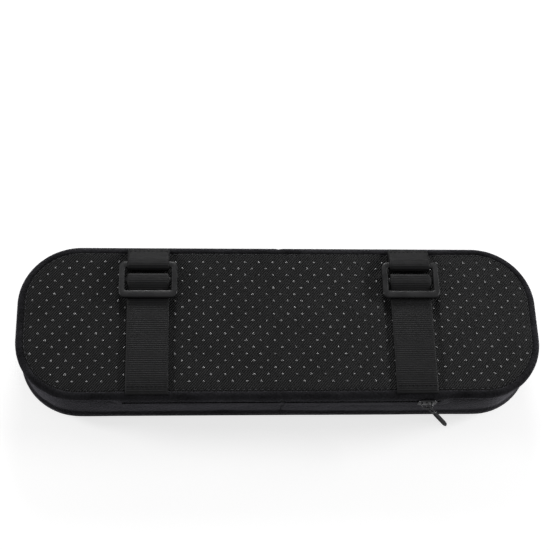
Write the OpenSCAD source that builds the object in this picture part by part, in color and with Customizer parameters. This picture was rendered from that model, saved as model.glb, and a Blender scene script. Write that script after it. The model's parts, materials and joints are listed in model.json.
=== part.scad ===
// Strap-on armrest pad for an office chair: a foam core in a zipped plush cover,
// with a grip-dot underside and two webbing straps that close in tri-glide buckles.
// The origin is the centre of the underside face, +Z goes up through the plush top,
// +X runs along the length towards the parked zipper slider, +Y faces the zipper side.

/* [Pad] */
// Length of the pad
pad_l = 250; // [220:1:300]
// Width of the pad
pad_w = 78; // [74:1:100]
// Height from the underside to the plush top
pad_h = 36; // [32:1:50]
// Plan radius of the four corners
corner_r = 30; // [20:1:34]
// Thickness of the plush cover
cover_t = 1.5; // [1:0.1:2]
// Height of the seam between the side band and the top panel
seam_z = 27; // [20:1:28]
// Width of the plush border around the underside panel
border_w = 4; // [3:0.5:6]

/* [Straps] */
// Distance of each strap's centre from the middle of the pad
strap_x = 63; // [50:1:70]
// Width of the webbing
web_w = 20; // [16:1:20]
// Thickness of one ply of webbing
web_t = 1; // [0.8:0.1:1]

/* [Buckle] */
// Outer width of the buckle, along the pad
buckle_w = 27.7; // [27:0.1:29]
// Outer length of the buckle, along the strap
buckle_l = 18.5; // [18:0.1:19]
// Thickness of the buckle frame
buckle_t = 2.6; // [2.4:0.1:2.6]
// Radius of the buckle's round top bar
bar_r = 1.3; // [1.2:0.05:1.3]

/* [Zipper] */
// Half the travel of the zipper slider
zip_half = 68; // [60:1:80]
// Height of the zipper's centre line above the underside
zip_z = 5; // [5:0.1:6]
// Length of the zipper pull from its hinge to its tip
pull_l = 12.3; // [10:0.1:14]
// Angle of the pull from the length of the zipper when at rest
pull_rest = 50; // [20:1:90]

/* [Hidden] */

eps = 0.01;
wall_y = pad_w / 2;
thread_w = 0.6;
panel_t = 1;
smooth = 48;
arc_n = 12;

// Underside channels that the foam takes up under the straps
channel_w = 31;
channel_d = 0.5;

// Strap levels below the underside, measured down to each ply's upper face
ply_gap = 0.05;
tail_top = -0.2;
strap_top = tail_top + web_t + ply_gap;
buckle_top = strap_top + web_t + 0.15;
bar_z = -(buckle_top + buckle_t / 2);
middle_bar_t = 1.2;

// Places along the strap
seam_y = wall_y - border_w;
hem_y0 = seam_y - 2.3;
hem_y1 = seam_y + 1.4;
tab_root_y = -seam_y + 0.7;
bar_y = -26.9;
buckle_y0 = -28.7;
buckle_y1 = buckle_y0 + buckle_l;
bar_w = 3.6;
side_bar_w = 2.8;
middle_y = -19.6;
middle_bar_w = 2.6;
webbing_y0 = buckle_y1 + 1.2;
tail_y0 = middle_y + 0.4;
tail_y1 = -4;
bar_clear = 0.06;

// Zipper section, measured from the outer wall
slot_half_x = zip_half + 7;
slot_half_z = 3.6;
tape_y1 = wall_y - cover_t - 0.1;
tape_t = 0.5;
coil_t = 1.4;
coil_h = 1.4;
row_gap = 1;
slider_half_x = 4.5;
slider_half_z = 3.2;
plate_t = 0.8;
plate_gap = 0.3;
bridge_w = 1.2;
bridge_half_x = 2.8;
hinge_y = tape_y1 + coil_t + plate_gap + plate_t + 1;
stop_x = zip_half + slider_half_x + plate_gap;
stop_l = 1.5;

// ---------------------------------------------------------------- cushion shapes

// The pad's outline at height z, drawn in by inset: four corner arcs, counter-clockwise
function outline(inset, z) = [
    for (quarter = [0:3], i = [0:arc_n])
        let (angle = 90 * (quarter + i / arc_n),
             sx = quarter == 0 || quarter == 3 ? 1 : -1,
             sy = quarter < 2 ? 1 : -1)
        [sx * (pad_l / 2 - corner_r) + (corner_r - inset) * cos(angle),
         sy * (pad_w / 2 - corner_r) + (corner_r - inset) * sin(angle),
         z]
];

// A solid through a stack of outlines, from the lowest up, each given as [inset, height]
module loft(levels) {
    n = 4 * (arc_n + 1);
    top = n * (len(levels) - 1);
    sides = [
        for (k = [0:len(levels) - 2], i = [0:n - 1])
            let (j = (i + 1) % n)
            [k * n + i, (k + 1) * n + i, (k + 1) * n + j, k * n + j]
    ];
    polyhedron(points = [for (level = levels) each outline(level[0], level[1])],
               faces = concat([[for (i = [0:n - 1]) i]], sides,
                              [[for (i = [0:n - 1]) top + n - 1 - i]]));
}

// A plate between two heights
module slab(inset, z0, z1) {
    loft([[inset, z0], [inset, z1]]);
}

// A ring that follows the pad's outline between two insets
module outline_ring(outer, inner, z0, z1) {
    difference() {
        slab(outer, z0, z1);
        slab(inner, z0 - 1, z1 + 1);
    }
}

// The rounded edge around the plush top, drawn in by shrink all over
function top_edge(shrink) = [
    [shrink, pad_h - 5.3 - shrink],
    [shrink + 1, pad_h - 2.4 - shrink],
    [shrink + 3, pad_h - 0.6 - shrink],
    [shrink + 6.5, pad_h - shrink]
];

// The rounded edge around the underside, drawn in by shrink all over
function bottom_edge(shrink) = [
    [shrink + 1.1, 1 + shrink],
    [shrink + 0.3, 2.6 + shrink],
    [shrink, 4.6 + shrink]
];

// ---------------------------------------------------------------- cushion

module foam_core() {
    fit = cover_t + 0.1;
    color([0.93, 0.9, 0.8]) difference() {
        loft(concat([[fit + 4, panel_t + 0.1]], bottom_edge(fit), top_edge(fit)));
        translate([-slot_half_x - 2, tape_y1 - 2.1, -1])
            cube([2 * slot_half_x + 4, 10, zip_z + slot_half_z + 4]);
    }
}

module top_panel() {
    color([0.09, 0.09, 0.1]) difference() {
        loft(concat([[0, seam_z + thread_w / 2]], top_edge(0)));
        loft(concat([[cover_t, seam_z - 2]], top_edge(cover_t)));
    }
}

// Half of the side band: side is -1 for the left half and 1 for the right half
module side_band(side) {
    edge = border_w - thread_w / 2;
    color([0.08, 0.08, 0.09]) intersection() {
        difference() {
            loft(concat([[edge - 0.5, 0]], bottom_edge(0), [[0, seam_z - thread_w / 2]]));
            loft(concat([[edge + 0.3, cover_t]], bottom_edge(cover_t), [[cover_t, seam_z + 1]]));
            slab(edge, -1, cover_t + 0.9);
            translate([-slot_half_x, wall_y - 5, zip_z - slot_half_z])
                cube([2 * slot_half_x, 10, 2 * slot_half_z]);
        }
        translate([side > 0 ? thread_w / 2 : -pad_l, -pad_w, -5])
            cube([pad_l - thread_w / 2, 2 * pad_w, pad_h]);
    }
}

module underside_panel() {
    color([0.12, 0.12, 0.13]) difference() {
        slab(border_w + thread_w / 2, 0, panel_t);
        for (side = [-1, 1])
            translate([side * strap_x - channel_w / 2, -pad_w, -1])
                cube([channel_w, 2 * pad_w, 1 + channel_d]);
    }
}

module top_seam_thread() {
    color([0.05, 0.05, 0.05])
        outline_ring(0.4, cover_t, seam_z - thread_w / 2, seam_z + thread_w / 2);
}

module underside_seam_thread() {
    color([0.3, 0.3, 0.3])
        outline_ring(border_w - thread_w / 2, border_w + thread_w / 2, 0.2, panel_t - 0.2);
}

// One line of thread on each long side, where the two halves of the band meet
module band_joint_thread() {
    for (side = [-1, 1]) {
        z0 = side > 0 ? zip_z + slot_half_z : 5 + cover_t;
        color([0.05, 0.05, 0.05])
            translate([-thread_w / 2, side * (wall_y - 0.9) - 0.4, z0])
                cube([thread_w, 0.8, seam_z - thread_w / 2 - z0]);
    }
}

// ---------------------------------------------------------------- zipper

// side is 1 above the centre line and -1 below it
module zipper_tape(side) {
    z0 = zip_z + row_gap / 2 + 0.1;
    upper_end = zip_z + slot_half_z + 2.5;
    lower_end = zip_z - slot_half_z;
    color([0.06, 0.06, 0.06]) translate([-slot_half_x, tape_y1 - tape_t, side > 0 ? z0 : lower_end])
        cube([2 * slot_half_x, tape_t, side > 0 ? upper_end - z0 : 2 * zip_z - z0 - lower_end]);
}

// One row of the nylon coil, as the bar that its turns fill
module zipper_coil(side) {
    z0 = side > 0 ? zip_z + row_gap / 2 : zip_z - row_gap / 2 - coil_h;
    color([0.08, 0.08, 0.08]) translate([-stop_x, tape_y1, z0])
        cube([2 * stop_x, coil_t, coil_h]);
}

module zipper_stop(x0) {
    color("silver") translate([x0, tape_y1, zip_z - row_gap / 2 - coil_h])
        cube([stop_l, coil_t + 0.3, 2 * coil_h + row_gap]);
}

// Two plates joined by a thin post, with a bridge that holds the pull
module zipper_slider() {
    outer_y = tape_y1 + coil_t + plate_gap;
    inner_y = tape_y1 - tape_t - plate_gap - plate_t;
    bridge_h = 2.7;
    color([0.25, 0.25, 0.27]) {
        for (y = [inner_y, outer_y])
            translate([zip_half - slider_half_x, y, zip_z - slider_half_z])
                cube([2 * slider_half_x, plate_t, 2 * slider_half_z]);
        translate([zip_half + 1, inner_y + plate_t - eps, zip_z - 0.15])
            cube([3, outer_y - inner_y - plate_t + 2 * eps, 0.3]);
        translate([zip_half, outer_y + plate_t - eps, zip_z - bridge_w / 2]) difference() {
            translate([-bridge_half_x, 0, 0]) cube([2 * bridge_half_x, bridge_h, bridge_w]);
            translate([0.8 - bridge_half_x, -1, -1])
                cube([2 * (bridge_half_x - 0.8), 1 + bridge_h - 0.8, bridge_w + 2]);
        }
    }
}

// A pin under the bridge, two arms past it and a tab with a sunken face
module zipper_pull() {
    arm_t = 0.9;
    arm_w = 0.8;
    tab_w = 4.4;
    tab_x0 = 3.9;
    pin_r = 0.5;
    color([0.3, 0.3, 0.32])
        translate([zip_half, hinge_y, zip_z]) rotate([0, 0, pull_rest]) {
            cylinder(r = pin_r, h = tab_w - 2 * eps, center = true, $fn = 32);
            for (side = [-1, 1])
                translate([0, -arm_t / 2, side * (tab_w - arm_w) / 2 - arm_w / 2])
                    cube([tab_x0 + eps, arm_t, arm_w]);
            difference() {
                union() {
                    translate([tab_x0, -arm_t / 2, -tab_w / 2])
                        cube([pull_l - tab_x0 - tab_w / 2, arm_t, tab_w]);
                    translate([pull_l - tab_w / 2, 0, 0]) rotate([90, 0, 0])
                        cylinder(d = tab_w, h = arm_t, center = true, $fn = smooth);
                }
                for (side = [-1, 1])
                    translate([tab_x0 + 0.8, side * arm_t / 2 - 0.2, 0.8 - tab_w / 2])
                        cube([pull_l - tab_x0 - tab_w / 2 - 0.8, 0.4, tab_w - 1.6]);
            }
        }
}

// ---------------------------------------------------------------- straps

module at_strap(side) {
    translate([side * strap_x, 0, 0]) children();
}

// Webbing along the strap: outline in the strap's side view, extruded over its width
module strap_profile(points, width = web_w) {
    translate([-width / 2, 0, 0]) rotate([90, 0, 90]) linear_extrude(width) polygon(points);
}

// The end of the long strap, folded once and sewn into the zipper-side seam
module strap_hem(side) {
    color([0.13, 0.13, 0.14]) at_strap(side)
        translate([-web_w / 2, hem_y0, -(strap_top + web_t)])
            cube([web_w, hem_y1 - hem_y0, strap_top + web_t - eps]);
}

// Both ends of the buckle's tab, sewn into the far seam
module tab_root(side) {
    color([0.13, 0.13, 0.14]) at_strap(side)
        translate([-web_w / 2, -hem_y1, -(2 * web_t + ply_gap)])
            cube([web_w, tab_root_y - 0.3 + hem_y1, 2 * web_t + ply_gap - eps]);
}

// Rows of stitches through the strap's two sewn ends
module strap_stitches(side) {
    count = 7;
    pitch = (web_w - 3) / (count - 1);
    color([0.3, 0.3, 0.3]) at_strap(side) for (i = [0:count - 1]) {
        x = (i - (count - 1) / 2) * pitch;
        translate([x - 0.8, seam_y - 0.2, -(strap_top + web_t + 0.25)]) cube([1.6, 0.5, 0.25]);
        translate([x - 0.8, -seam_y - 0.3, -(2 * web_t + ply_gap + 0.25)]) cube([1.6, 0.5, 0.25]);
    }
}

// The long strap, from the buckle to the zipper-side seam
module webbing(side) {
    color([0.13, 0.13, 0.14]) at_strap(side)
        translate([-web_w / 2, webbing_y0, -(strap_top + web_t)])
            cube([web_w, hem_y0 - 0.3 - webbing_y0, web_t]);
}

// The loose end, returning under the long strap
module webbing_tail(side) {
    color([0.12, 0.12, 0.13]) at_strap(side)
        translate([-web_w / 2, tail_y0, -(tail_top + web_t)])
            cube([web_w, tail_y1 - tail_y0, web_t]);
}

// A short tab that loops around the buckle's round top bar
module buckle_tab(side) {
    inner_r = bar_r + bar_clear;
    outer_r = inner_r + web_t;
    run = abs(tab_root_y - bar_y);
    color([0.13, 0.13, 0.14]) at_strap(side)
        translate([0, bar_y, bar_z]) difference() {
            union() {
                translate([-web_w / 2, 0, 0]) rotate([0, 90, 0])
                    cylinder(r = outer_r, h = web_w, $fn = smooth);
                strap_profile([[0, outer_r], [-run, outer_r], [-run, 0.2], [0, -outer_r]]);
            }
            translate([-web_w / 2 - 1, 0, 0]) rotate([0, 90, 0])
                cylinder(r = inner_r, h = web_w + 2, $fn = smooth);
            strap_profile([[0, inner_r], [-run + 2, inner_r], [-run + 2, 0.9], [0, -inner_r]],
                          web_w + 2);
        }
}

// Tri-glide frame: a round top bar, two side bars, a thinner middle bar and a bottom bar
module buckle(side) {
    z0 = -(buckle_top + buckle_t);
    bottom_y = buckle_y1 - bar_w;
    color([0.1, 0.1, 0.11]) at_strap(side) {
        translate([-buckle_w / 2 + 1, bar_y, bar_z]) rotate([0, 90, 0])
            cylinder(r = bar_r, h = buckle_w - 2, $fn = smooth);
        translate([0, 0, z0]) linear_extrude(buckle_t) difference() {
            buckle_outline(2);
            translate([0, (buckle_y0 + bottom_y) / 2 - side_bar_w / 2])
                square([buckle_w - 2 * side_bar_w, bottom_y - buckle_y0 + side_bar_w + eps],
                       center = true);
        }
        translate([-buckle_w / 2 + 1, middle_y - middle_bar_w / 2, -(buckle_top + middle_bar_t)])
            cube([buckle_w - 2, middle_bar_w, middle_bar_t]);
    }
}

module buckle_outline(r) {
    y = (buckle_y0 + buckle_y1) / 2;
    translate([0, y]) {
        square([buckle_w - 2 * r, buckle_l], center = true);
        square([buckle_w, buckle_l - 2 * r], center = true);
        for (sx = [-1, 1], sy = [-1, 1])
            translate([sx * (buckle_w / 2 - r), sy * (buckle_l / 2 - r)])
                circle(r = r, $fn = smooth);
    }
}

// The strap's part inside the buckle: under the bottom bar, over the middle bar and back
module threaded_webbing(side) {
    over_z = buckle_top + middle_bar_t + ply_gap;
    under_z = strap_top;
    y1 = webbing_y0 - 0.3;
    y2 = buckle_y1 - bar_w - 0.2;
    y3 = middle_y + middle_bar_w / 2 + 0.4;
    y4 = middle_y - middle_bar_w / 2 - 0.4;
    color([0.13, 0.13, 0.14]) at_strap(side) strap_profile([
        [y1, -under_z], [y2, -under_z], [y3, -over_z], [y4, -over_z],
        [y4, -buckle_top + 0.1], [tail_y0 - 0.4, -buckle_top + 0.1],
        [tail_y0 - 0.4, -under_z], [y4 - web_t, -under_z],
        [y4 - web_t, -over_z - web_t], [y3, -over_z - web_t],
        [y2 + 0.6, -under_z - web_t], [y1, -under_z - web_t]
    ]);
}

foam_core();
top_panel();
side_band(-1);  // side_band_left
side_band(1);  // side_band_right
underside_panel();
top_seam_thread();
underside_seam_thread();
band_joint_thread();
zipper_tape(1);  // zipper_tape_upper
zipper_tape(-1);  // zipper_tape_lower
zipper_coil(1);  // zipper_coil_upper
zipper_coil(-1);  // zipper_coil_lower
zipper_stop(stop_x);  // zipper_top_stop
zipper_stop(-stop_x - stop_l);  // zipper_bottom_stop
zipper_slider();
zipper_pull();
strap_hem(-1);  // strap_hem_left
strap_hem(1);  // strap_hem_right
tab_root(-1);  // tab_root_left
tab_root(1);  // tab_root_right
strap_stitches(-1);  // strap_stitches_left
strap_stitches(1);  // strap_stitches_right
webbing(-1);  // webbing_left
webbing(1);  // webbing_right
webbing_tail(-1);  // webbing_tail_left
webbing_tail(1);  // webbing_tail_right
buckle_tab(-1);  // buckle_tab_left
buckle_tab(1);  // buckle_tab_right
buckle(-1);  // buckle_left
buckle(1);  // buckle_right
threaded_webbing(-1);  // threaded_webbing_left
threaded_webbing(1);  // threaded_webbing_right
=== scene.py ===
import json
import math

import bmesh
import bpy
import numpy as np
from mathutils import Matrix, Vector
from mathutils.bvhtree import BVHTree


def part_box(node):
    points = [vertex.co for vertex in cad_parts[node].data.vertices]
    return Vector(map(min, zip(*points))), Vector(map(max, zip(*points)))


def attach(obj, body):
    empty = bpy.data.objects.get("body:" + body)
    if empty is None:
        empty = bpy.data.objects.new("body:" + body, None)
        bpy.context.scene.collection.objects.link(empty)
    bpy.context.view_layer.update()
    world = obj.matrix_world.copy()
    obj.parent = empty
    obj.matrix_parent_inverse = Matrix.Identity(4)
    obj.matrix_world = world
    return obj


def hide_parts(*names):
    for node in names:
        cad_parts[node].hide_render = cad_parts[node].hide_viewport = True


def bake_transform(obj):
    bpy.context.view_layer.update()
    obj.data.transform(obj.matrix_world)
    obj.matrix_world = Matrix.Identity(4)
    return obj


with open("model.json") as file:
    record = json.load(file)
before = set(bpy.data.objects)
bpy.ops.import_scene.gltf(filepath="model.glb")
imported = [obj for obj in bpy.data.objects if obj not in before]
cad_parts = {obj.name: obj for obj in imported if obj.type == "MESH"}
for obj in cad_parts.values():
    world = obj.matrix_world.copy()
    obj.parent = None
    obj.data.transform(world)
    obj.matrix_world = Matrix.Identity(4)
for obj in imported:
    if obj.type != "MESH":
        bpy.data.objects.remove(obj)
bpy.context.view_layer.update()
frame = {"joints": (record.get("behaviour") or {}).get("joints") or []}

MM = 0.001
SIDES = {"left": -1, "right": 1}

# ------------------------------------------------------------ places, from the frame
HALF_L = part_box("side_band_right")[1].x
HALF_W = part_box("side_band_right")[1].y
TOP_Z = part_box("top_panel")[1].z
SEAM_Z = sum(c.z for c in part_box("top_seam_thread")) / 2
CORNER_R = 30 * MM
PANEL_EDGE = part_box("underside_panel")[1].y
BORDER = HALF_W - PANEL_EDGE
ZIP_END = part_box("zipper_tape_upper")[1].x
ZIP_Z = (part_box("zipper_coil_upper")[0].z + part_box("zipper_coil_lower")[1].z) / 2
STRAP_X = sum(c.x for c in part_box("webbing_right")) / 2
WEB_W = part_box("webbing_right")[1].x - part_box("webbing_right")[0].x
WEB_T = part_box("webbing_right")[1].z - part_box("webbing_right")[0].z
LOWEST = min(c.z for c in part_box("buckle_tab_right"))


# ------------------------------------------------------------ mesh helpers
def new_object(name, verts, faces, smooth=True):
    mesh = bpy.data.meshes.new(name)
    mesh.from_pydata([tuple(v) for v in verts], [], faces)
    mesh.validate()
    for polygon in mesh.polygons:
        polygon.use_smooth = smooth
    obj = bpy.data.objects.new(name, mesh)
    bpy.context.scene.collection.objects.link(obj)
    return obj


def grid_faces(rows, columns, closed_rows=False, closed_columns=True):
    """Quads over a grid of points, stored row by row."""
    faces = []
    for r in range(rows if closed_rows else rows - 1):
        for c in range(columns if closed_columns else columns - 1):
            r2, c2 = (r + 1) % rows, (c + 1) % columns
            faces.append((r * columns + c, r * columns + c2, r2 * columns + c2, r2 * columns + c))
    return faces


def end_caps(rings, count):
    """The two faces that close a stack of rings of points at its ends."""
    last = (rings - 1) * count
    return [tuple(reversed(range(count))), tuple(last + i for i in range(count))]


def rounded_square(angle, power):
    """A point of a unit square with rounded corners. A higher power is squarer."""
    c, s = math.cos(angle), math.sin(angle)
    return math.copysign(abs(c) ** (2 / power), c), math.copysign(abs(s) ** (2 / power), s)


def apply_modifiers(obj):
    depsgraph = bpy.context.evaluated_depsgraph_get()
    mesh = bpy.data.meshes.new_from_object(obj.evaluated_get(depsgraph))
    obj.modifiers.clear()
    obj.data = mesh
    return obj


def fix_normals(obj):
    bm = bmesh.new()
    bm.from_mesh(obj.data)
    bmesh.ops.recalc_face_normals(bm, faces=bm.faces)
    bm.to_mesh(obj.data)
    bm.free()
    return obj


def set_uv(obj, uv_of_vertex):
    """Gives every corner of the mesh its vertex's place along and across the cloth."""
    layer = obj.data.uv_layers.new(name="UVMap")
    for loop in obj.data.loops:
        layer.data[loop.index].uv = uv_of_vertex[loop.vertex_index]


def finish_piece(obj, body, slot, material, *nodes):
    """Gives a piece its material and its body (none for a blended piece), and hides the CAD nodes it
    replaces.
    """
    obj.data.materials.clear()
    obj.data.materials.append(material)
    if body:
        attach(obj, body)
    if nodes:
        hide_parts(*nodes)
    return obj


def resample(points, step):
    """Points a step apart along a smooth line through the given ones."""
    points = np.array(points, float)
    for _ in range(3):
        middle = np.repeat(points, 2, axis=0)
        middle[1:-1:2] = 0.75 * points[:-1] + 0.25 * points[1:]
        middle[2:-1:2] = 0.25 * points[:-1] + 0.75 * points[1:]
        points = middle
    length = np.concatenate([[0], np.cumsum(np.linalg.norm(np.diff(points, axis=0), axis=1))])
    keep = np.concatenate([[True], np.diff(length) > 1e-9])
    points, length = points[keep], length[keep]
    at = np.linspace(0, length[-1], max(int(round(length[-1] / step)), 2) + 1)
    return np.stack([np.interp(at, length, points[:, i]) for i in range(points.shape[1])], 1), at


# ------------------------------------------------------------ the pad's outline
AROUND = 520


def outline(inset, count=AROUND):
    """Points round the pad's plan, drawn in by inset, each level with its neighbours."""
    straight_x, straight_y = HALF_L - CORNER_R, HALF_W - CORNER_R
    radius = max(CORNER_R - inset, 0)
    centre_y = straight_y - max(inset - CORNER_R, 0)
    quarter = math.pi / 2 * CORNER_R
    # the first point is the middle of the +Y side, so that the outline mirrors about both axes
    stretches = [2 * straight_x, quarter, 2 * straight_y, quarter] * 2
    corners = [(1, 1), (1, -1), (-1, -1), (-1, 1)]
    ends = np.cumsum(stretches)
    points = []
    for s in (np.arange(count) / count * ends[-1] + straight_x) % ends[-1]:
        part = int(np.searchsorted(ends, s, side="right"))
        t = (s - (ends[part] - stretches[part])) / stretches[part]
        corner = corners[part // 2]
        angle = math.pi / 2 * (1 - part // 2)
        if part % 2:
            a = angle - t * math.pi / 2
            points.append((corner[0] * straight_x + radius * math.cos(a),
                           corner[1] * centre_y + radius * math.sin(a)))
        else:
            before = corners[part // 2 - 1]
            start = Vector((before[0] * straight_x + radius * math.cos(angle),
                            before[1] * centre_y + radius * math.sin(angle)))
            end = Vector((corner[0] * straight_x + radius * math.cos(angle),
                          corner[1] * centre_y + radius * math.sin(angle)))
            points.append(tuple(start.lerp(end, t)))
    return np.array(points)


def loft(profile, count=AROUND):
    """Rows of points round the outline, one for each (inset, z) of the profile."""
    rows = []
    for inset, z in profile:
        xy = outline(inset, count)
        rows.append(np.column_stack([xy, np.full(len(xy), z)]))
    return np.array(rows)


def fill_centre(ring_start, points, across=12):
    """Quads over the inside of the last ring, between points that mirror each other in Y."""
    ring = np.array(points[ring_start:])
    count = len(ring)
    quarter = count // 4
    reach = max(k for k in range(quarter) if ring[k][0] < ring[quarter][0] - 0.5 * MM)
    extra, columns = [], []
    for k in range(-reach, reach + 1):
        near, far = k % count, (count // 2 - k) % count
        column = [ring_start + near]
        for j in range(1, across):
            column.append(len(points) + len(extra))
            extra.append(ring[near] + (ring[far] - ring[near]) * j / across)
        columns.append(column + [ring_start + far])
    faces = [(a[j], a[j + 1], b[j + 1], b[j])
             for a, b in zip(columns, columns[1:]) for j in range(across)]
    right_end = [ring_start + k for k in range(reach, count // 2 - reach + 1)]
    left_end = [ring_start + k for k in range(count // 2 + reach, count - reach + 1)]
    faces.append(tuple(right_end + columns[-1][-2:0:-1]))
    faces.append(tuple(left_end + columns[0][1:-1]))
    return np.vstack([points, extra]), faces


# ------------------------------------------------------------ materials
def material(name, color, roughness, **values):
    mat = bpy.data.materials.new(name)
    mat.use_nodes = True
    shader = mat.node_tree.nodes["Principled BSDF"]
    shader.inputs["Base Color"].default_value = (*color, 1)
    shader.inputs["Roughness"].default_value = roughness
    for key, value in values.items():
        shader.inputs[key.replace("_", " ")].default_value = value
    return mat, mat.node_tree, shader


def add(tree, kind, **settings):
    node = tree.nodes.new(kind)
    for key, value in settings.items():
        if key in node.inputs:
            node.inputs[key].default_value = value
        else:
            setattr(node, key, value)
    return node


def noise(tree, coords, scale, detail=3.0, stretch=(1, 1, 1)):
    mapping = add(tree, "ShaderNodeMapping", Scale=stretch)
    node = add(tree, "ShaderNodeTexNoise", Scale=scale, Detail=detail)
    tree.links.new(coords, mapping.inputs["Vector"])
    tree.links.new(mapping.outputs["Vector"], node.inputs["Vector"])
    return node.outputs["Fac"]


def ramp(tree, value, low, high, color_low, color_high):
    node = add(tree, "ShaderNodeValToRGB")
    first, last = node.color_ramp.elements
    first.position, last.position = low, high
    first.color, last.color = (*color_low, 1), (*color_high, 1)
    tree.links.new(value, node.inputs["Fac"])
    return node.outputs["Color"]


def math_node(tree, operation, a, b):
    node = add(tree, "ShaderNodeMath", operation=operation)
    for socket, value in zip(node.inputs, (a, b)):
        if isinstance(value, (int, float)):
            socket.default_value = value
        else:
            tree.links.new(value, socket)
    return node.outputs["Value"]


def bump(tree, shader, height, distance, strength=1.0):
    node = add(tree, "ShaderNodeBump", Distance=distance, Strength=strength)
    tree.links.new(height, node.inputs["Height"])
    tree.links.new(node.outputs["Normal"], shader.inputs["Normal"])


def object_coords(tree):
    return add(tree, "ShaderNodeTexCoord").outputs["Object"]


def velour():
    """Short-pile velour: brushed patches of two blacks, a soft sheen and a fine nap."""
    mat, tree, shader = material("plush_velour", (0.01, 0.01, 0.011), 0.85)
    shader.inputs["Sheen Weight"].default_value = 0.5
    shader.inputs["Sheen Roughness"].default_value = 0.42
    shader.inputs["Sheen Tint"].default_value = (0.42, 0.41, 0.47, 1)
    shader.inputs["Specular IOR Level"].default_value = 0.15
    coords = object_coords(tree)
    patches = noise(tree, coords, 55, 5, (0.8, 1.3, 1))
    strokes = noise(tree, coords, 210, 4, (0.5, 1.6, 1))
    nap = noise(tree, coords, 1000, 4)
    brushed = math_node(tree, "ADD", math_node(tree, "MULTIPLY", patches, 0.5),
                        math_node(tree, "MULTIPLY", strokes, 0.25))
    mixed = math_node(tree, "ADD", brushed, math_node(tree, "MULTIPLY", nap, 0.25))
    tree.links.new(ramp(tree, mixed, 0.38, 0.64, (0.003, 0.003, 0.0035), (0.022, 0.0215, 0.025)),
                   shader.inputs["Base Color"])
    tree.links.new(ramp(tree, mixed, 0.35, 0.65, (0.95,) * 3, (0.7,) * 3), shader.inputs["Roughness"])
    height = math_node(tree, "ADD", math_node(tree, "MULTIPLY", nap, 0.5),
                       math_node(tree, "MULTIPLY", mixed, 1.2))
    bump(tree, shader, height, 0.9 * MM, 0.8)
    return mat


def twill(name, color, rise, pitch, roughness=0.6):
    """Woven cloth with fine diagonal lines and a slight change of tone."""
    mat, tree, shader = material(name, color, roughness)
    shader.inputs["Specular IOR Level"].default_value = 0.16
    coords = object_coords(tree)
    turned = add(tree, "ShaderNodeMapping", Rotation=(0, 0, math.radians(-40)))
    tree.links.new(coords, turned.inputs["Vector"])
    lines = add(tree, "ShaderNodeTexWave", Scale=1 / (pitch * 3.18), Distortion=0.9, Detail=2.0)
    tree.links.new(turned.outputs["Vector"], lines.inputs["Vector"])
    fibres = noise(tree, coords, 2600, 2)
    patches = noise(tree, coords, 70, 3)
    dark = tuple(c * 0.1 for c in color)
    weave = math_node(tree, "ADD", math_node(tree, "MULTIPLY", lines.outputs["Fac"], 0.7),
                      math_node(tree, "MULTIPLY", patches, 0.3))
    tree.links.new(ramp(tree, weave, 0.35, 0.9, dark, color), shader.inputs["Base Color"])
    height = math_node(tree, "ADD", lines.outputs["Fac"], math_node(tree, "MULTIPLY", fibres, 0.4))
    bump(tree, shader, height, rise)
    return mat


MOULDED_GRAIN = 1500


def moulded(name, color, roughness, metallic=0.0, coat=0.0):
    """Moulded plastic or plated metal with a fine grain and slightly uneven gloss."""
    mat, tree, shader = material(name, color, roughness, Metallic=metallic, Coat_Weight=coat,
                                 Coat_Roughness=0.1, Coat_IOR=1.9)
    coords = object_coords(tree)
    fine, broad = noise(tree, coords, MOULDED_GRAIN, 3), noise(tree, coords, MOULDED_GRAIN / 12, 3)
    low, high = (max(roughness - 0.09, 0.05),) * 3, (roughness + 0.12,) * 3
    tree.links.new(ramp(tree, broad, 0.3, 0.7, low, high), shader.inputs["Roughness"])
    tree.links.new(ramp(tree, broad, 0.25, 0.75, tuple(c * 0.8 for c in color),
                        tuple(c * 1.2 for c in color)), shader.inputs["Base Color"])
    bump(tree, shader, fine, 0.06 * MM, 0.5)
    return mat


def woven_strap():
    """Polypropylene webbing: yarns along each rib, over real ribs in the mesh."""
    mat, tree, shader = material("webbing_black", (0.01, 0.01, 0.011), 0.55)
    shader.inputs["Specular IOR Level"].default_value = 0.3
    coords = add(tree, "ShaderNodeTexCoord").outputs["UV"]
    yarns = add(tree, "ShaderNodeTexWave", Scale=1 / (0.5 * MM * 3.18), Distortion=1.0,
                bands_direction="Y")
    tree.links.new(coords, yarns.inputs["Vector"])
    fibres = noise(tree, coords, 3000, 2, (1, 0.3, 1))
    patches = noise(tree, coords, 160, 3)
    tone = math_node(tree, "ADD", math_node(tree, "MULTIPLY", yarns.outputs["Fac"], 0.5),
                     math_node(tree, "MULTIPLY", patches, 0.5))
    tree.links.new(ramp(tree, tone, 0.2, 0.8, (0.003, 0.003, 0.0033), (0.015, 0.015, 0.016)),
                   shader.inputs["Base Color"])
    bump(tree, shader, math_node(tree, "ADD", yarns.outputs["Fac"], fibres), 0.05 * MM, 0.5)
    return mat


def foam_material():
    mat, tree, shader = material("open_cell_foam", (0.8, 0.72, 0.52), 0.9)
    cells = add(tree, "ShaderNodeTexVoronoi", Scale=900)
    tree.links.new(object_coords(tree), cells.inputs["Vector"])
    tree.links.new(ramp(tree, cells.outputs["Distance"], 0.0, 0.6, (0.5, 0.43, 0.28),
                        (0.86, 0.79, 0.6)), shader.inputs["Base Color"])
    bump(tree, shader, cells.outputs["Distance"], 0.3 * MM)
    return mat


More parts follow.
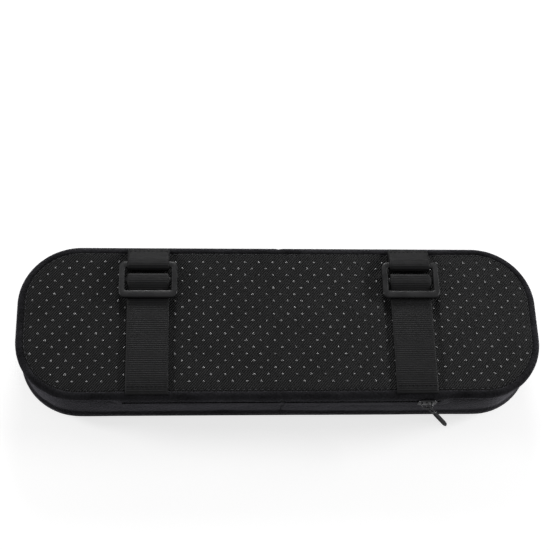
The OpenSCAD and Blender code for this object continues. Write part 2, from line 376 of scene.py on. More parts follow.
PLUSH = velour()
GRIP_CLOTH = twill("grip_cloth", (0.042, 0.042, 0.043), 0.24 * MM, 0.95 * MM)
WEBBING = woven_strap()
TAPE = twill("zipper_tape", (0.02, 0.02, 0.022), 0.08 * MM, 0.7 * MM)
BUCKLE = moulded("buckle_plastic", (0.016, 0.016, 0.017), 0.4)
COIL = moulded("zipper_coil", (0.02, 0.02, 0.02), 0.35)
METAL = moulded("gunmetal", (0.13, 0.13, 0.135), 0.24, 1.0)
DOTS = moulded("grip_dot_rubber", (0.1, 0.1, 0.103), 0.14, coat=1.0)
THREAD = twill("sewing_thread", (0.16, 0.16, 0.17), 0.05 * MM, 0.25 * MM)
FOAM = foam_material()

# ------------------------------------------------------------ plush cover
CLOTH_STEPS = 20
MOST_SWELL = 1.0 * MM
# profiles are (inset, height) in millimetres
BAND_PROFILE = [(4.3, 0.8), (4.0, 0.25), (3.4, -0.1), (2.5, 0.0), (1.6, 0.5), (0.9, 1.3),
                (0.35, 2.7), (0.05, 4.4), (0.0, 7), (-0.1, 11), (-0.15, 16), (-0.1, 21),
                (0.0, 24.2), (0.25, 25.6), (0.8, 26.5), (1.7, 26.95)]
CAP_PROFILE = [(1.7, 27.05), (0.8, 27.4), (0.25, 28.3), (0.0, 29.6), (0.15, 31.0), (0.8, 32.6),
               (2.1, 34.1), (4.2, 35.2), (7.5, 35.8), (13, 36.1), (21, 36.3), (30, 36.4)]


def profile_rows(profile, step):
    points, _ = resample(np.array(profile) * MM, step)
    return points


def blow_up(form):
    """Runs the cloth under pressure and keeps every point within MOST_SWELL of its start."""
    before = np.array([v.co for v in form.data.vertices])
    cloth = form.modifiers.new("cloth", "CLOTH")
    cloth.settings.use_pressure = True
    cloth.settings.uniform_pressure_force = 4
    cloth.settings.effector_weights.gravity = 0
    cloth.settings.quality = 5
    cloth.point_cache.frame_start, cloth.point_cache.frame_end = 1, CLOTH_STEPS
    for step in range(1, CLOTH_STEPS + 1):
        bpy.context.scene.frame_set(step)
    apply_modifiers(form)
    bpy.context.scene.frame_set(1)
    moved = np.array([v.co for v in form.data.vertices]) - before
    length = np.linalg.norm(moved, axis=1, keepdims=True)
    moved *= np.minimum(1, MOST_SWELL / np.maximum(length, 1e-9))
    form.data.vertices.foreach_set("co", (before + moved).ravel())


def stuffed_form():
    """The whole pad as one closed cloth, blown up slightly by the foam. Returns its surface."""
    rows = np.concatenate([profile_rows([(p[0] + 0.8, p[1]) for p in BAND_PROFILE[:-2]], 3 * MM),
                           profile_rows([(p[0] + 0.8, p[1] - 0.6) for p in CAP_PROFILE[2:]], 3 * MM)])
    points = loft(rows, 200)
    faces = grid_faces(*points.shape[:2]) + end_caps(*points.shape[:2])
    form = fix_normals(new_object("stuffed_form", points.reshape(-1, 3), faces))
    remesh = form.modifiers.new("remesh", "REMESH")
    remesh.mode, remesh.voxel_size = "VOXEL", 5 * MM
    apply_modifiers(form)
    blow_up(form)
    smoother = form.modifiers.new("smooth", "SUBSURF")
    smoother.levels = 1
    apply_modifiers(form)
    tree = BVHTree.FromObject(form, bpy.context.evaluated_depsgraph_get())
    bpy.data.objects.remove(form)
    return tree


def smoothstep(x, low, high):
    t = np.clip((x - low) / (high - low), 0, 1)
    return t * t * (3 - 2 * t)


def nap_noise(points, seed, scale, count=40):
    """A gentle random swell, the same on every run."""
    rng = np.random.default_rng(seed)
    direction = rng.normal(size=(count, 3))
    direction *= scale / np.linalg.norm(direction, axis=1, keepdims=True)
    phase = rng.uniform(0, 2 * math.pi, count)
    return np.sin(points @ direction.T + phase).mean(axis=1) * math.sqrt(count)


def settle(points, surface):
    """Moves cover points onto the stuffed form, but not at the seams or along the zipper."""
    z = points[:, 2]
    near_zip = (1 - smoothstep(np.abs(points[:, 0]), ZIP_END, ZIP_END + 6 * MM)) \
        * smoothstep(points[:, 1], 0, 5 * MM) * (1 - smoothstep(z, 9 * MM, 13 * MM))
    free = smoothstep(z, 2 * MM, 6 * MM) * smoothstep(np.abs(z - SEAM_Z), 0.3 * MM, 4 * MM)
    free *= 1 - near_zip
    out = points.copy()
    for i in np.nonzero(free > 0.01)[0]:
        hit, _, _, distance = surface.find_nearest(Vector(points[i]))
        if hit is not None and distance < 4 * MM:
            out[i] += free[i] * (np.array(hit) - points[i])
    centre = out * np.array([0.55, 0, 0])
    outward = out - centre
    outward /= np.maximum(np.linalg.norm(outward, axis=1, keepdims=True), 1e-9)
    swell = nap_noise(out, 7, 110) * 0.22 * MM + nap_noise(out, 8, 420) * 0.06 * MM
    return out + outward * (swell * free)[:, None]


def cover_piece(name, profile, step, surface, keep=None, close_top=False):
    points = loft(profile_rows(profile, step))
    rows, count = points.shape[:2]
    flat = points.reshape(-1, 3)
    faces = grid_faces(rows, count)
    if close_top:
        flat, inner = fill_centre((rows - 1) * count, flat)
        faces += inner
    flat = settle(flat, surface)
    if keep is not None:
        faces = [f for f in faces if keep(flat[list(f)].mean(axis=0), flat[list(f)])]
    piece = new_object(name, flat, faces)
    bm = bmesh.new()
    bm.from_mesh(piece.data)
    bmesh.ops.delete(bm, geom=[v for v in bm.verts if not v.link_faces], context="VERTS")
    bmesh.ops.recalc_face_normals(bm, faces=bm.faces)
    bm.to_mesh(piece.data)
    bm.free()
    for polygon in piece.data.polygons:
        polygon.use_smooth = True
    return piece


def in_zip_slit(centre):
    return abs(centre[0]) < ZIP_END - 1 * MM and centre[1] > 0 and abs(centre[2] - ZIP_Z) < 0.45 * MM


def face_outward(piece):
    """Turns a cover piece's faces so that they point away from the pad's middle."""
    total = sum((Vector((p.center.x * 0.1, p.center.y, p.center.z - 15 * MM)).dot(p.normal) * p.area)
                for p in piece.data.polygons)
    if total < 0:
        piece.data.flip_normals()
    return piece


def make_cover():
    surface = stuffed_form()
    top = cover_piece("plush_top_panel", CAP_PROFILE, 1.2 * MM, surface, close_top=True)
    finish_piece(face_outward(top), "cushion", "plush_velour", PLUSH, "top_panel")
    for side, sign in SIDES.items():
        def keep(centre, corners, sign=sign):
            return centre[0] * sign > 0.15 * MM and not in_zip_slit(centre)
        band = cover_piece(f"plush_side_band_{side}", BAND_PROFILE, 0.8 * MM, surface, keep)
        for vertex in band.data.vertices:
            near = max(0.0, 1 - abs(vertex.co.x) / (2.2 * MM))
            if abs(vertex.co.y) > HALF_W - 6 * MM:
                vertex.co.y -= math.copysign(0.35 * MM * near * near, vertex.co.y)
        finish_piece(face_outward(band), "cushion", "plush_velour", PLUSH, f"side_band_{side}")


# ------------------------------------------------------------ seams and stitches
def stitch(centre, along, out, length, width, height):
    """One raised stitch: a small rounded lozenge lying along its seam."""
    along, out = Vector(along).normalized(), Vector(out).normalized()
    across = out.cross(along)
    verts, faces = [], []
    rings, sides = 5, 8
    for r in range(rings):
        t = -1 + 2 * r / (rings - 1)
        size = math.sqrt(max(1 - t * t, 0)) * 0.9 + 0.1
        for s in range(sides):
            a = 2 * math.pi * s / sides
            verts.append(Vector(centre) + along * (t * length / 2)
                         + across * (math.cos(a) * size * width / 2)
                         + out * (math.sin(a) * size * height / 2))
    for r in range(rings - 1):
        for s in range(sides):
            faces.append((r * sides + s, r * sides + (s + 1) % sides,
                          (r + 1) * sides + (s + 1) % sides, (r + 1) * sides + s))
    return verts, faces + end_caps(rings, sides)


def join_parts(name, parts):
    """One object from several (points, faces) pairs."""
    verts, faces = [], []
    for part_verts, part_faces in parts:
        base = len(verts)
        verts += part_verts
        faces += [tuple(base + i for i in f) for f in part_faces]
    return fix_normals(new_object(name, verts, faces))


def outline_stitches(inset, z, pitch, length, width, height, face_down):
    """Stitches all round the outline, raised downwards or towards the side."""
    ring = outline(inset, 2000)
    ring = np.vstack([ring, ring[:1]])
    at = np.concatenate([[0], np.cumsum(np.linalg.norm(np.diff(ring, axis=0), axis=1))])
    count = int(at[-1] / pitch)
    parts = []
    for i in range(count):
        s = (i + 0.5) * at[-1] / count
        x, y = np.interp(s, at, ring[:, 0]), np.interp(s, at, ring[:, 1])
        x2, y2 = np.interp(s + pitch / 8, at, ring[:, 0]), np.interp(s + pitch / 8, at, ring[:, 1])
        along = (x2 - x, y2 - y, 0)
        out = (0, 0, -1) if face_down else (y - y2, x2 - x, 0)
        parts.append(stitch((x, y, z), along, out, length, width, height))
    return parts


def make_threads():
    """The cover's three seams. Black thread has the zipper tape's material."""
    top = join_parts("top_seam_stitches", outline_stitches(
        1.0 * MM, SEAM_Z, 2.6 * MM, 2.1 * MM, 0.45 * MM, 0.5 * MM, face_down=False))
    finish_piece(top, "cushion", "sewing_thread", TAPE, "top_seam_thread")
    under = join_parts("underside_stitches", outline_stitches(
        BORDER + 0.5 * MM, 0.05 * MM, 2.8 * MM, 1.9 * MM, 0.4 * MM, 0.5 * MM, face_down=True))
    finish_piece(under, "cushion", "sewing_thread", THREAD, "underside_seam_thread")
    joints = []
    for sign in (-1, 1):
        low = ZIP_Z + 4 * MM if sign > 0 else 3 * MM
        for z in np.arange(low, SEAM_Z - 1.5 * MM, 2.6 * MM):
            joints.append(stitch((0, sign * (HALF_W - 0.9 * MM), z), (0, 0, 1), (0, sign, 0),
                                 2.0 * MM, 0.45 * MM, 0.4 * MM))
    finish_piece(join_parts("band_joint_stitches", joints), "cushion", "sewing_thread", TAPE,
                 "band_joint_thread")


# ------------------------------------------------------------ dotted underside
DOT_PITCH = 6.7 * MM
DOT_ROW = 3.35 * MM
DOT_R = 0.62 * MM
DOT_H = 0.42 * MM


def panel_height(x, y):
    """The underside's face: level, pressed in under the straps and puckered at its seam."""
    strap = np.abs(np.abs(x) - STRAP_X)
    pressed = 0.42 * MM * (1 - smoothstep(strap, 11.5 * MM, 15 * MM))
    pucker = 0.07 * MM * np.sin(x * 900 + y * 400) * smoothstep(np.abs(y), 0.024, 0.034)
    return pressed + pucker


def make_panel():
    rows = np.concatenate([np.linspace(BORDER / MM - 0.35, 12, 18), np.linspace(13.5, 30, 12)])
    points = loft([(r * MM, 0) for r in rows])
    edge = np.repeat(smoothstep(rows, BORDER / MM - 0.4, BORDER / MM + 1.2), points.shape[1])
    flat, inner = fill_centre((len(rows) - 1) * points.shape[1], points.reshape(-1, 3), 16)
    edge = np.concatenate([edge, np.ones(len(flat) - len(edge))])
    flat[:, 2] = panel_height(flat[:, 0], flat[:, 1]) + (1 - edge) * 0.5 * MM
    panel = new_object("underside_cloth", flat, grid_faces(len(rows), points.shape[1]) + inner)
    fix_normals(panel)
    if sum(p.normal.z * p.area for p in panel.data.polygons) > 0:
        panel.data.flip_normals()
    finish_piece(panel, "cushion", "grip_fabric", GRIP_CLOTH, "underside_panel")


def inside_panel(x, y, margin):
    dx = max(abs(x) - (HALF_L - CORNER_R), 0)
    dy = max(abs(y) - (HALF_W - CORNER_R), 0)
    return math.hypot(dx, dy) < CORNER_R - BORDER - margin


def make_dots():
    sides, parts = 10, []
    levels = [(1.0, -0.15), (0.98, 0.3), (0.8, 0.68), (0.45, 0.93)]
    rng = np.random.default_rng(3)
    rows = int(HALF_W / DOT_ROW)
    for j in range(-rows, rows + 1):
        for i in range(-20, 21):
            x = (i + (0.5 if j % 2 else 0.0)) * DOT_PITCH
            y = j * DOT_ROW
            if not inside_panel(x, y, 1.2 * MM):
                continue
            size = DOT_R * rng.uniform(0.88, 1.08)
            z = float(panel_height(np.array(x), np.array(y)))
            verts = [Vector((x + size * r * math.cos(2 * math.pi * s / sides),
                             y + size * r * math.sin(2 * math.pi * s / sides), z - DOT_H * h))
                     for r, h in levels for s in range(sides)]
            verts.append(Vector((x, y, z - DOT_H)))
            faces = grid_faces(len(levels), sides)
            top = (len(levels) - 1) * sides
            faces += [(top + s, top + (s + 1) % sides, len(verts) - 1) for s in range(sides)]
            faces.append(tuple(range(sides)))
            parts.append((verts, faces))
    finish_piece(join_parts("grip_dots", parts), "cushion", "grip_dots", DOTS)


# ------------------------------------------------------------ webbing
RIB = 1.05 * MM


def ribbon(name, path, width, thick, x, ribs=0.17 * MM, step=0.175 * MM):
    """Webbing that follows (y, z) points: cross ribs between two plain edges."""
    line, at = resample(np.array(path) * MM, step)
    tangent = np.gradient(line, axis=0)
    tangent /= np.linalg.norm(tangent, axis=1, keepdims=True)
    normal = np.column_stack([-tangent[:, 1], tangent[:, 0]])
    across = np.concatenate([[-1, -0.985, -0.95], np.linspace(-0.9, 0.9, 13), [0.95, 0.985, 1]])
    half = np.sqrt(np.maximum(1 - np.abs(across) ** 30, 0.0))
    middle = np.abs(across) < 0.91
    ring_x = np.concatenate([across, across[::-1]]) * width / 2
    ring_h = np.concatenate([half, -half[::-1]])
    rib_mask = np.concatenate([middle, middle[::-1]])
    verts, uv = [], []
    for i, (p, n) in enumerate(zip(line, normal)):
        rib = abs(math.sin(math.pi * at[i] / RIB)) ** 0.7 - 1
        for j in range(len(ring_x)):
            h = ring_h[j] * thick / 2
            h += math.copysign(ribs * rib, ring_h[j]) if rib_mask[j] else 0
            verts.append((x + ring_x[j], p[0] + n[0] * h, p[1] + n[1] * h))
            uv.append((at[i], ring_x[j]))
    count = len(ring_x)
    obj = new_object(name, verts, grid_faces(len(line), count) + end_caps(len(line), count))
    set_uv(obj, uv)
    return fix_normals(obj)


MIDDLE_BAR_Y = -19.6
TOP_BAR_Y = -26.9
TOP_BAR_R = 1.3
THICK = 0.9215 * MM


def web_levels(side):
    """Heights and places of the strap's plies, in millimetres, from the frame."""
    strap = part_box(f"webbing_{side}")
    frame_low, frame_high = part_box(f"buckle_{side}")
    return {
        "strap_z": (strap[0].z + strap[1].z) / 2 / MM,
        "tail_z": sum(c.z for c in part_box(f"webbing_tail_{side}")) / 2 / MM,
        "tail_end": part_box(f"webbing_tail_{side}")[1].y / MM,
        "bar_z": (frame_low.z + frame_high.z) / 2 / MM,
        "over": frame_high.z / MM - 1.2 - WEB_T / MM / 2 - 0.08,
        "buckle_y1": frame_high.y / MM,
        "hem_y0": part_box(f"strap_hem_{side}")[0].y / MM,
        "hem_y1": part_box(f"strap_hem_{side}")[1].y / MM,
    }


# where the near end of the long strap meets its free stretch
SPLIT_Y = 14.0


def make_strap_end(side, x, k):
    """From the free stretch to the seam. Both stretches start in a groove between two ribs."""
    zs = k["strap_z"]
    path = [(SPLIT_Y, zs), (20, zs), (27, zs), (k["hem_y0"] - 0.5, -0.95),
            (k["hem_y1"] - 1.0, -0.55), (k["hem_y1"], 0.0)]
    end = ribbon(f"strap_end_{side}", path, WEB_W, THICK, x)
    finish_piece(end, None, "webbing", WEBBING, f"strap_hem_{side}")
    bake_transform(end)


def make_long_strap(side, x, k):
    """The free stretch, its way through the buckle and over the middle bar, and the loose end."""
    zs, over, tail, bottom = k["strap_z"], k["over"], k["tail_z"], k["buckle_y1"]
    path = [(SPLIT_Y, zs), (4, zs), (-4, zs), (bottom + 1, zs), (bottom - 2.8, zs - 0.02),
            (bottom - 4.5, zs - 0.5), (MIDDLE_BAR_Y + 2.2, over + 0.35), (MIDDLE_BAR_Y + 0.9, over),
            (MIDDLE_BAR_Y - 1.2, over), (MIDDLE_BAR_Y - 2.6, over + 0.2),
            (MIDDLE_BAR_Y - 3.2, over + 1.4), (MIDDLE_BAR_Y - 2.7, tail - 0.25),
            (MIDDLE_BAR_Y - 0.6, tail), (MIDDLE_BAR_Y + 3, tail), (-10, tail),
            (k["tail_end"], tail)]
    strap = ribbon(f"strap_webbing_{side}", path, WEB_W, THICK, x)
    finish_piece(strap, None, "webbing", WEBBING, f"webbing_{side}", f"webbing_tail_{side}",
                 f"threaded_webbing_{side}")
    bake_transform(strap)


def make_tab(side, x, k):
    """The short tab from the far seam, round the buckle's top bar and back."""
    bar_z, sewn = k["bar_z"], -k["hem_y1"]
    loop = TOP_BAR_R + 0.12 + WEB_T / MM / 2
    arc = [(TOP_BAR_Y + loop * math.cos(a), bar_z + loop * math.sin(a))
           for a in np.radians(np.linspace(-100, 90, 9))]
    path = [(sewn, -0.3), (sewn + 1.6, -1.6), (sewn + 3.2, -2.7),
            (TOP_BAR_Y - 3.2, bar_z - loop * 0.8), *arc, (TOP_BAR_Y - 3.5, bar_z + loop),
            (sewn + 2.6, bar_z + loop + 0.1), (sewn + 1.2, -0.6)]
    tab = ribbon(f"buckle_tab_webbing_{side}", path, WEB_W, THICK, x)
    finish_piece(tab, None, "webbing", WEBBING, f"buckle_tab_{side}", f"tab_root_{side}")
    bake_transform(tab)


def make_strap_stitches(side, x, k):
    """Lines of stitches through the strap's hem and the tab's sewn end."""
    hem_y, tab_y = (k["hem_y0"] + 0.3) * MM, (1.5 - k["hem_y1"]) * MM
    size = (1.6 * MM, 0.4 * MM, 0.35 * MM)
    parts = []
    for i in range(9):
        px = x + (i - 4) * 2.1 * MM
        parts.append(stitch((px, hem_y, -1.5 * MM), (1, 0, 0), (0, 0, -1), *size))
        parts.append(stitch((px, tab_y, -2.1 * MM), (1, 0, 0), (0, -0.6, -1), *size))
    finish_piece(join_parts(f"strap_stitches_thread_{side}", parts), "cushion", "sewing_thread",
                 TAPE, f"strap_stitches_{side}")


def make_strap(side, sign):
    x = sign * STRAP_X
    levels = web_levels(side)
    make_strap_end(side, x, levels)
    make_long_strap(side, x, levels)
    make_tab(side, x, levels)
    make_strap_stitches(side, x, levels)


# ------------------------------------------------------------ buckles
def rounded_rectangle(x0, x1, y0, y1, radius, per_corner=14, per_side=12):
    points = []
    corners = [(x1, y1, 0), (x0, y1, 1), (x0, y0, 2), (x1, y0, 3)]
    for cx, cy, turn in corners:
        mx = cx - math.copysign(radius, cx - (x0 + x1) / 2)
        my = cy - math.copysign(radius, cy - (y0 + y1) / 2)
        for i in range(per_corner):
            a = math.pi / 2 * (turn + i / (per_corner - 1))
            points.append((mx + radius * math.cos(a), my + radius * math.sin(a)))
    full = []
    for i, p in enumerate(points):
        q = points[(i + 1) % len(points)]
        full.append(p)
        if (i + 1) % per_corner == 0:
            full += [(p[0] + (q[0] - p[0]) * t / per_side, p[1] + (q[1] - p[1]) * t / per_side)
                     for t in range(1, per_side)]
    return np.array(full)


def ring_solid(outer, inner, half_t, z=0.0, power=4.5, sides=20):
    """A closed ring between two outlines, with a rounded section."""
    verts = []
    for o, i in zip(outer, inner):
        for side in range(sides):
            across, up = rounded_square(2 * math.pi * side / sides, power)
            p = (o + i) / 2 + (o - i) / 2 * across
            verts.append(Vector((p[0], p[1], z + half_t * up)))
    return verts, grid_faces(len(outer), sides, closed_rows=True)


def bar_solid(x0, x1, y, z, half_y, half_z, power=3.5, sides=20, steps=10):
    """A bar along X with a rounded section."""
    section = [rounded_square(2 * math.pi * side / sides, power) for side in range(sides)]
    verts = [Vector((px, y + half_y * across, z + half_z * up))
             for px in np.linspace(x0, x1, steps + 1) for across, up in section]
    return verts, grid_faces(steps + 1, sides) + end_caps(steps + 1, sides)


def make_buckle(side):
    low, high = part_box(f"buckle_{side}")
    side_bar, bottom_bar = 2.8 * MM, 3.6 * MM
    outer = rounded_rectangle(low.x, high.x, low.y, high.y, 2.8 * MM)
    window = rounded_rectangle(low.x + side_bar, high.x - side_bar,
                               (TOP_BAR_Y + TOP_BAR_R) * MM, high.y - bottom_bar, 0.9 * MM)
    surround = ring_solid(outer, window, (high.z - low.z) / 2, (high.z + low.z) / 2)
    middle_bar = bar_solid(low.x + 2 * MM, high.x - 2 * MM, MIDDLE_BAR_Y * MM,
                           high.z - 0.6 * MM, 1.3 * MM, 0.6 * MM)
    buckle = join_parts(f"tri_glide_{side}", [surround, middle_bar])
    finish_piece(buckle, f"glide_{side}", "buckle_plastic", BUCKLE, f"buckle_{side}")


# ------------------------------------------------------------ zipper
def tube(points, radius, sides):
    """A closed tube along points, as vertices and faces."""
    points = np.array(points, float)
    verts = []
    for p, t in zip(points, np.gradient(points, axis=0)):
        t = Vector(t).normalized()
        u = t.orthogonal() if abs(t.y) > 0.9 else t.cross(Vector((0, 1, 0)))
        u.normalize()
        w = t.cross(u)
        verts += [Vector(p) + u * (math.cos(a) * radius) + w * (math.sin(a) * radius)
                  for a in (2 * math.pi * s / sides for s in range(sides))]
    return verts, grid_faces(len(points), sides) + end_caps(len(points), sides)


def make_coil(name, sign):
    """One coil row. The two rows are half a turn apart, so that they mesh."""
    low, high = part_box(f"zipper_coil_{name}")
    pitch = 1.3 * MM
    turns = int((high.x - low.x) / pitch)
    t = np.arange(turns * 8 + 1) / 8
    inner, outer = ZIP_Z + sign * 0.1 * MM, high.z if sign > 0 else low.z
    reach = abs(outer - inner) / 2 - 0.2 * MM
    offset = pitch / 2 if sign > 0 else 0
    helix = np.column_stack([np.clip(low.x + t * pitch + offset, low.x, high.x),
                             (low.y + high.y) / 2 + 0.45 * MM * np.cos(2 * np.pi * t),
                             (inner + outer) / 2 + reach * np.sin(2 * np.pi * t)])
    coil = join_parts(f"coil_{name}", [tube(helix, 0.22 * MM, 6)])
    finish_piece(coil, "cushion", "zipper_coil", COIL, f"zipper_coil_{name}")


def make_tape(name, sign):
    """One tape, slightly wavy. It runs in under its coil, up to the slider's post."""
    low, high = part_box(f"zipper_tape_{name}")
    inner, outer = ZIP_Z + sign * 0.2 * MM, high.z if sign > 0 else low.z
    columns = np.linspace(low.x, high.x, 165)
    across = np.linspace(min(inner, outer), max(inner, outer), 9)
    verts = [Vector((px, face_y + 0.05 * MM * math.sin(px / MM * 2.4), z))
             for face_y in (high.y, low.y) for z in across for px in columns]
    count, rows = len(columns), len(across)
    half = rows * count
    faces = grid_faces(rows, count, closed_columns=False)
    faces += [tuple(half + i for i in reversed(f)) for f in faces]
    rim = list(range(count)) + [r * count + count - 1 for r in range(1, rows)]
    rim += [(rows - 1) * count + c for c in reversed(range(count - 1))]
    rim += [r * count for r in reversed(range(1, rows - 1))]
    faces += [(a, b, half + b, half + a) for a, b in zip(rim, rim[1:] + rim[:1])]
    tape = fix_normals(new_object(f"tape_{name}", verts, faces))
    finish_piece(tape, "cushion", "zipper_tape", TAPE, f"zipper_tape_{name}")


def make_stop(node):
    """A metal clip of three wires round the coils, just behind the plush."""
    low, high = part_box(node)
    mid_x, y = (low.x + high.x) / 2, high.y - 1.0 * MM
    clip = [(y - 0.2 * MM, low.z + 0.4 * MM), (y, low.z + 1 * MM),
            (y, high.z - 1 * MM), (y - 0.2 * MM, high.z - 0.4 * MM)]
    wires = [tube([(mid_x + dx, *p) for p in clip], 0.36 * MM, 10)
             for dx in (-0.38 * MM, 0, 0.38 * MM)]
    finish_piece(join_parts(node + "_clip", wires), "cushion", "zipper_metal", METAL, node)


def make_zipper():
    for name, sign in (("upper", 1), ("lower", -1)):
        make_coil(name, sign)
        make_tape(name, sign)
    make_stop("zipper_top_stop")
    make_stop("zipper_bottom_stop")


def plate_solid(x0, x1, z0, z1, y, half_t):
    """A slider plate: a shield outline in X and Z, narrower at its tail, with rounded edges."""
    shield = rounded_rectangle(x0, x1, z0, z1, 1.6 * MM, 10, 6)
    centre = np.array([(x0 + x1) / 2, (z0 + z1) / 2])
    for p in shield:
        share = min((p[0] - x0) / (x1 - x0) + 0.25, 1)
        p[1] = centre[1] + (p[1] - centre[1]) * (0.6 + 0.4 * math.sin(math.pi * share / 1.6))
    levels = [(-1.0, 0.86), (-0.75, 0.96), (0, 1.0), (0.75, 0.96), (1.0, 0.86)]
    verts = []
    for height, size in levels:
        points = centre + (shield - centre) * size
        verts += [Vector((p[0], y + half_t * height, p[1])) for p in points]
    count = len(shield)
    return verts, grid_faces(len(levels), count) + end_caps(len(levels), count)


def make_slider():
    """Two plates round the coils, a thin post between them and an arch that holds the pull."""
    low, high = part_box("zipper_slider")
    mid_x = (low.x + high.x) / 2
    inner_y, outer_y = low.y + 0.4 * MM, low.y + 3.7 * MM
    parts = [plate_solid(low.x, high.x, low.z, high.z, y, 0.4 * MM) for y in (inner_y, outer_y)]
    parts.append(bar_solid(mid_x + 1 * MM, mid_x + 4 * MM, (inner_y + outer_y) / 2, ZIP_Z,
                           (outer_y - inner_y) / 2, 0.15 * MM, 6, 12, 3))
    foot, crest = outer_y + 0.2 * MM, high.y - 0.42 * MM
    half_arch = [(2.4 * MM, foot), (2.4 * MM, crest - 0.9 * MM), (1.7 * MM, crest - 0.1 * MM)]
    arch = [(mid_x - dx, y) for dx, y in half_arch] + [(mid_x, crest)]
    arch += [(mid_x + dx, y) for dx, y in reversed(half_arch)]
    line, _ = resample(arch, 0.25 * MM)
    for dz in (-0.28 * MM, 0, 0.28 * MM):
        parts.append(tube([(p[0], p[1], ZIP_Z + dz) for p in line], 0.38 * MM, 12))
    slider = join_parts("slider_body", parts)
    finish_piece(slider, "slider", "zipper_metal", METAL, "zipper_slider")


def make_pull():
    """The pull, drawn flat from its hinge along X, then stood up and swung to its rest angle."""
    joint = next(j for j in frame["joints"] if j["name"] == "pull_swing")
    hinge = Vector(joint["pos_m"])
    low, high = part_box("zipper_pull")
    reach = math.hypot(high.x - hinge.x, high.y - hinge.y)
    turn = math.atan2(high.y - hinge.y, high.x - hinge.x)
    half = (high.z - low.z) / 2
    outer = rounded_rectangle(3.7 * MM, reach, -half, half, 2.0 * MM)
    inner = rounded_rectangle(4.9 * MM, reach - 1.1 * MM, -half + 1 * MM, half - 1 * MM, 1.1 * MM)
    parts = [ring_solid(outer, inner, 0.44 * MM, power=3)]
    sunken = [Vector((p[0], p[1], z)) for z in (-0.2 * MM, 0.2 * MM) for p in inner]
    parts.append((sunken, grid_faces(2, len(inner)) + end_caps(2, len(inner))))
    for y in (0.4 * MM - half, half - 0.4 * MM):
        parts.append(tube([(t, y, 0) for t in np.linspace(0, 4.6 * MM, 10)], 0.42 * MM, 12))
    pin = np.linspace(0.1 * MM - half, half - 0.1 * MM, 9)
    parts.append(tube([(0, y, 0) for y in pin], 0.46 * MM, 14))
    pull = join_parts("pull_tab", parts)
    upright = Matrix.Rotation(math.pi / 2, 4, "X")
    pull.data.transform(Matrix.Translation(hinge) @ Matrix.Rotation(turn, 4, "Z") @ upright)
    finish_piece(pull, "pull", "zipper_metal", METAL, "zipper_pull")


# ------------------------------------------------------------ foam
def make_foam():
    profile = [(8.0, 1.5), (5.6, 2.2), (4.2, 3.8), (3.6, 6), (3.5, 12), (3.5, 22), (3.9, 28),
               (5.1, 30.0), (7.5, 31.6), (11.5, 32.6), (20, 32.9), (30, 32.9)]
    points = loft([(i * MM, z * MM) for i, z in profile], 200)
    flat, inner = fill_centre((len(profile) - 1) * 200, points.reshape(-1, 3), 8)
    # the zipper's tape and slider press a groove into the foam
    in_groove = (np.abs(flat[:, 0]) < ZIP_END + 2 * MM) & (flat[:, 2] < 13 * MM) & (flat[:, 1] > 0)
    flat[:, 1] = np.where(in_groove, np.minimum(flat[:, 1], HALF_W - 3.9 * MM), flat[:, 1])
    faces = grid_faces(len(profile), 200) + inner
    faces.append(tuple(range(200)))
    foam = fix_normals(new_object("foam_insert", flat, faces))
    finish_piece(foam, "cushion", "foam", FOAM, "foam_core")


# ------------------------------------------------------------ stage
def one_sided(name, tone, glow):
    """A pale matt sheet that shows from its front only."""
    mat, tree, shader = material(name, (tone,) * 3, 0.9)
    shader.inputs["Emission Color"].default_value = (1, 1, 1, 1)
    shader.inputs["Emission Strength"].default_value = glow
    shader.inputs["Specular IOR Level"].default_value = 0.0
    clear = add(tree, "ShaderNodeBsdfTransparent")
    mix = add(tree, "ShaderNodeMixShader")
    back = add(tree, "ShaderNodeNewGeometry")
    tree.links.new(back.outputs["Backfacing"], mix.inputs["Fac"])
    tree.links.new(shader.outputs["BSDF"], mix.inputs[1])
    tree.links.new(clear.outputs["BSDF"], mix.inputs[2])
    tree.links.new(mix.outputs["Shader"], tree.nodes["Material Output"].inputs["Surface"])
    return mat


def make_sheet(name, z, up, mat):
    size = 4.0
    corners = [(-size, -size, z), (size, -size, z), (size, size, z), (-size, size, z)]
    sheet = new_object(name, corners, [(0, 1, 2, 3) if up else (3, 2, 1, 0)], smooth=False)
    sheet.data.materials.append(mat)
    for ray in ("visible_diffuse", "visible_glossy", "visible_transmission", "visible_shadow"):
        setattr(sheet, ray, False)


def light(name, place, power, size, target=(0, 0, 0.015)):
    data = bpy.data.lights.new(name, "AREA")
    data.shape, data.size, data.energy = "DISK", size, power
    lamp = bpy.data.objects.new(name, data)
    bpy.context.scene.collection.objects.link(lamp)
    lamp.location = place
    lamp.rotation_euler = (Vector(target) - Vector(place)).to_track_quat("-Z", "Y").to_euler()


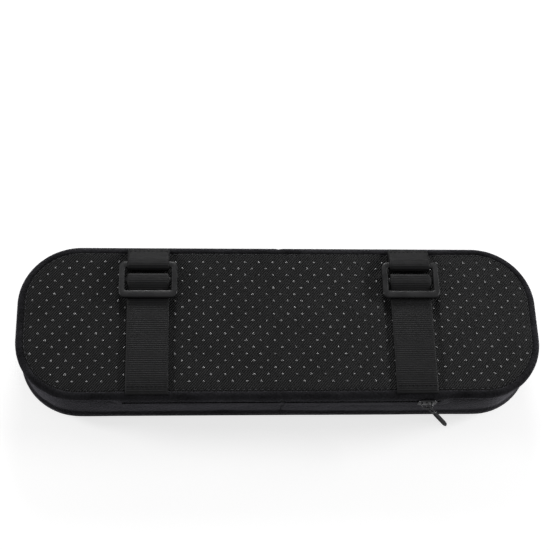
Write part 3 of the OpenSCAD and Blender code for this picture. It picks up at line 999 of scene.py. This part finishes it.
def make_stage():
    make_sheet("floor", LOWEST, True, one_sided("floor_paper", 0.6, 0.62))
    make_sheet("backdrop", TOP_Z + 0.5 * MM, False, one_sided("backdrop_paper", 0.6, 0.7))
    world = bpy.data.worlds.new("studio")
    world.use_nodes = True
    dim = world.node_tree.nodes["Background"]
    dim.inputs["Color"].default_value = (1, 1, 1, 1)
    dim.inputs["Strength"].default_value = 0.24
    # the camera sees a white studio, but the pad is lit by the lamps and a dimmer surround
    white = add(world.node_tree, "ShaderNodeBackground", Color=(1, 1, 1, 1), Strength=1.0)
    ray = add(world.node_tree, "ShaderNodeLightPath")
    mix = add(world.node_tree, "ShaderNodeMixShader")
    world.node_tree.links.new(ray.outputs["Is Camera Ray"], mix.inputs["Fac"])
    world.node_tree.links.new(dim.outputs["Background"], mix.inputs[1])
    world.node_tree.links.new(white.outputs["Background"], mix.inputs[2])
    output = world.node_tree.nodes["World Output"]
    world.node_tree.links.new(mix.outputs["Shader"], output.inputs["Surface"])
    bpy.context.scene.world = world
    light("under_top", (0.0, -0.75, -0.45), 2.9, 0.3)
    light("under_left", (-0.75, -0.1, -0.4), 1.7, 0.22)
    light("under_right", (0.75, -0.1, -0.35), 2.3, 0.25)
    light("above_key", (-0.5, -0.6, 0.9), 3.2, 0.5)
    light("above_fill", (0.8, 0.3, 0.7), 1.6, 0.5)


def make_camera():
    tilt = math.radians(21)
    distance = 0.56
    towards = Vector((0, math.sin(tilt), -math.cos(tilt)))
    up = Vector((0, -math.cos(tilt), -math.sin(tilt)))
    centre = Vector((0, 0, 6 * MM))
    place = centre + towards * distance - Vector((45 * MM, 0, 0))
    aim = centre + up * 24 * MM - Vector((2.5 * MM, 0, 0))
    back = (place - aim).normalized()
    right = up.cross(back).normalized()
    rows = Matrix((right, back.cross(right), back)).transposed()
    data = bpy.data.cameras.new("camera")
    data.lens, data.sensor_width = 76.6, 36
    camera = bpy.data.objects.new("camera", data)
    bpy.context.scene.collection.objects.link(camera)
    camera.matrix_world = Matrix.Translation(place) @ rows.to_4x4()
    bpy.context.scene.camera = camera
    bpy.context.scene.view_settings.view_transform = "Standard"


make_camera()
make_stage()
make_foam()
make_cover()
make_panel()
make_dots()
make_threads()
for side_name, side_sign in SIDES.items():
    make_strap(side_name, side_sign)
    make_buckle(side_name)
make_zipper()
make_slider()
make_pull()
